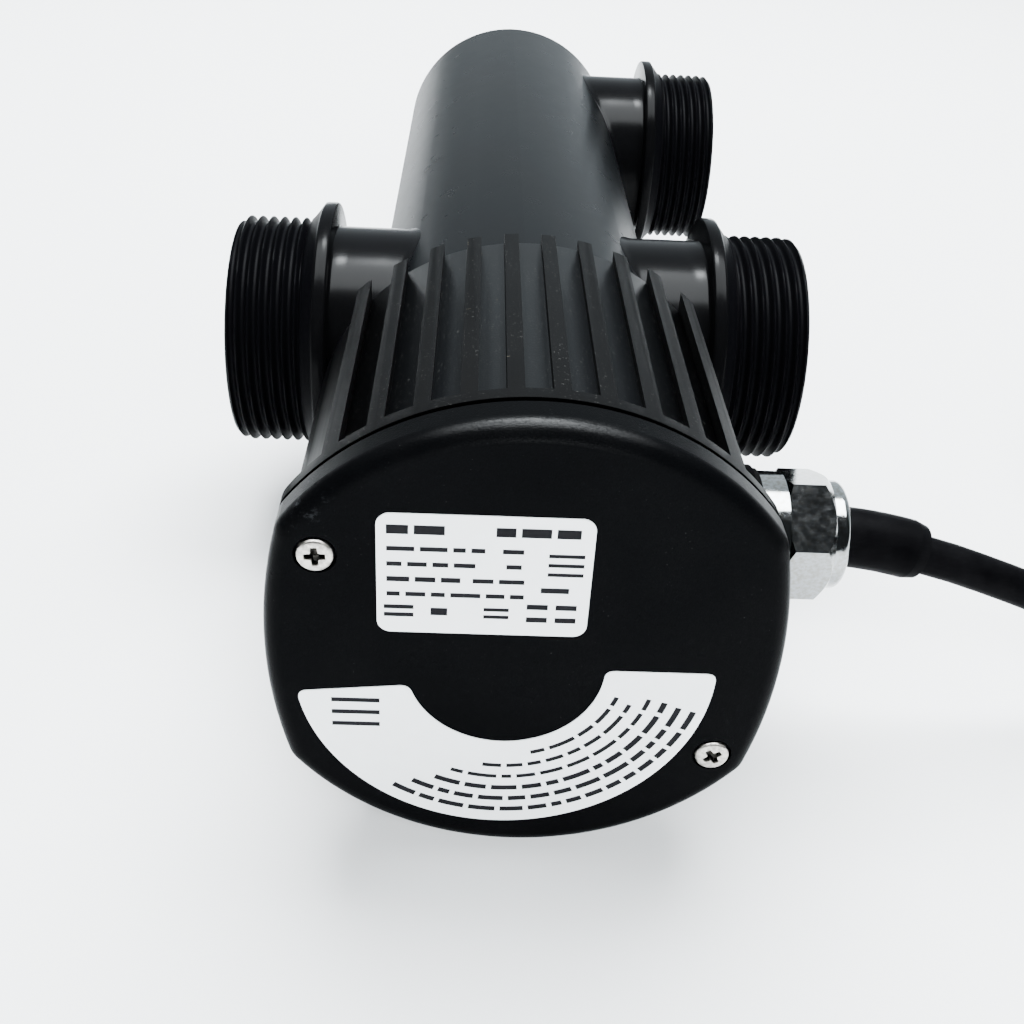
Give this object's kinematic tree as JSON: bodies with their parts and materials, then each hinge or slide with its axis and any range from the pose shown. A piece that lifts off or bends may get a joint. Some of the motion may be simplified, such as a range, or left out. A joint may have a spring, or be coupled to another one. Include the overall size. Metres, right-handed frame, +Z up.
{
  "type": "uv clarifier",
  "caption": "In-line UV-C clarifier for ponds and aquaria: finned lamp head with a cable gland, screwed on to a tubular flow chamber with threaded hose ports.",
  "frame": {"origin": "middle of the object's underside, below the axis of the chamber, the free cable not counted", "axes": "+Y from the head's cover back along the chamber, +X towards the cable gland and the rear port, +Z up"},
  "size_m": [0.3141, 0.2662, 0.0794],
  "materials": {
    "cover_plastic": "satin black moulded plastic",
    "head_plastic": "matt black, fine textured",
    "chamber_plastic": "matt black moulded plastic",
    "gasket_rubber": "black sheet gasket",
    "seal_rubber": "black seal",
    "screw_steel": "nickel plated, worn",
    "label_film": "white film, blank",
    "gland_metal": "nickel plated",
    "slip_plastic": "natural nylon",
    "cable_rubber": "black cable jacket",
    "plug_plastic": "black moulded plug",
    "pin_metal": "nickel plated",
    "tie_plastic": "black nylon tie",
    "holder_plastic": "white moulded lamp holder",
    "lamp_plastic": "white lamp cap",
    "lamp_glass": "clear lamp glass",
    "quartz": "clear quartz",
    "board": "brown circuit board",
    "core_steel": "bare metal",
    "winding": "enamelled copper",
    "capacitor": "dipped film capacitor",
    "terminal_plastic": "natural plastic",
    "wire_brown": "brown insulation",
    "wire_blue": "blue insulation",
    "wire_green": "green and yellow insulation",
    "wire_white": "white insulation",
    "nut_plastic": "black clamping nut"
  },
  "bodies": {
    "head": {"head_housing": "head_plastic", "cover_gasket": "gasket_rubber", "terminal_block": "terminal_plastic", "terminal_screws": "screw_steel", "lamp_holder": "holder_plastic", "holder_screws": "screw_steel", "ballast_board": "board", "board_screws": "screw_steel", "choke_core": "core_steel", "choke_winding": "winding", "capacitor": "capacitor", "earth_tag": "core_steel", "earth_screw": "screw_steel", "lead_live": "wire_brown", "lead_neutral": "wire_blue", "lead_earth": "wire_green", "lamp_leads": "wire_white", "quartz_sleeve": "quartz", "gland_washer": "seal_rubber", "gland_body": "gland_metal", "gland_seal": "seal_rubber", "cable_boot": "cable_rubber", "mains_cable": "cable_rubber", "cable_coil": "cable_rubber", "cable_tail": "cable_rubber", "cable_tie": "tie_plastic", "plug_body": "plug_plastic", "plug_pins": "pin_metal", "plug_earth_strips": "pin_metal"},
    "head_seal": {"housing_o_ring": "seal_rubber"},
    "chamber": {"chamber_tube": "chamber_plastic", "port_front_left": "chamber_plastic", "port_front_right": "chamber_plastic", "port_rear_right": "chamber_plastic"},
    "sleeve_seal": {"quartz_o_ring": "seal_rubber"},
    "sleeve_nut": {"quartz_nut": "nut_plastic"},
    "gland_ring": {"gland_slip_ring": "slip_plastic"},
    "gland_cap": {"gland_nut": "gland_metal"},
    "lamp": {"lamp_base": "lamp_plastic", "lamp_pins": "pin_metal", "lamp_glass": "lamp_glass"},
    "cover": {"front_cover": "cover_plastic", "rating_label": "label_film", "lower_label": "label_film", "cover_screws": "screw_steel"}
  },
  "joints": [
    {"name": "chamber_turn", "type": "hinge", "parent": "head", "child": "head_seal", "pos_m": [0, -0.06663, 0.0397], "axis": [0, 1, 0], "range_deg": [0, 1080]},
    {"name": "chamber_feed", "type": "slide", "parent": "head_seal", "child": "chamber", "axis": [0, 1, 0], "range_m": [0, 0.012]},
    {"name": "sleeve_nut_turn", "type": "hinge", "parent": "head", "child": "sleeve_seal", "pos_m": [0, -0.06323, 0.0397], "axis": [0, 1, 0], "range_deg": [0, 1440]},
    {"name": "sleeve_nut_feed", "type": "slide", "parent": "sleeve_seal", "child": "sleeve_nut", "axis": [0, 1, 0], "range_m": [0, 0.006]},
    {"name": "gland_turn", "type": "hinge", "parent": "head", "child": "gland_ring", "pos_m": [0.0506, -0.09713, 0.0397], "axis": [1, 0, 0], "range_deg": [0, 600]},
    {"name": "gland_feed", "type": "slide", "parent": "gland_ring", "child": "gland_cap", "axis": [1, 0, 0], "range_m": [0, 0.0025]},
    {"name": "lamp_pull", "type": "slide", "parent": "head", "child": "lamp", "axis": [0, 1, 0], "range_m": [0, 0.008]},
    {"name": "cover_lift", "type": "slide", "parent": "head", "child": "cover", "axis": [0, -1, 0], "range_m": [0, 0.04]}
  ],
  "couplings": [
    {"joint": "chamber_feed", "follows": "chamber_turn", "m_per_rad": 0.0006366},
    {"joint": "sleeve_nut_feed", "follows": "sleeve_nut_turn", "m_per_rad": 0.00023873},
    {"joint": "gland_feed", "follows": "gland_turn", "m_per_rad": 0.00023873}
  ]
}
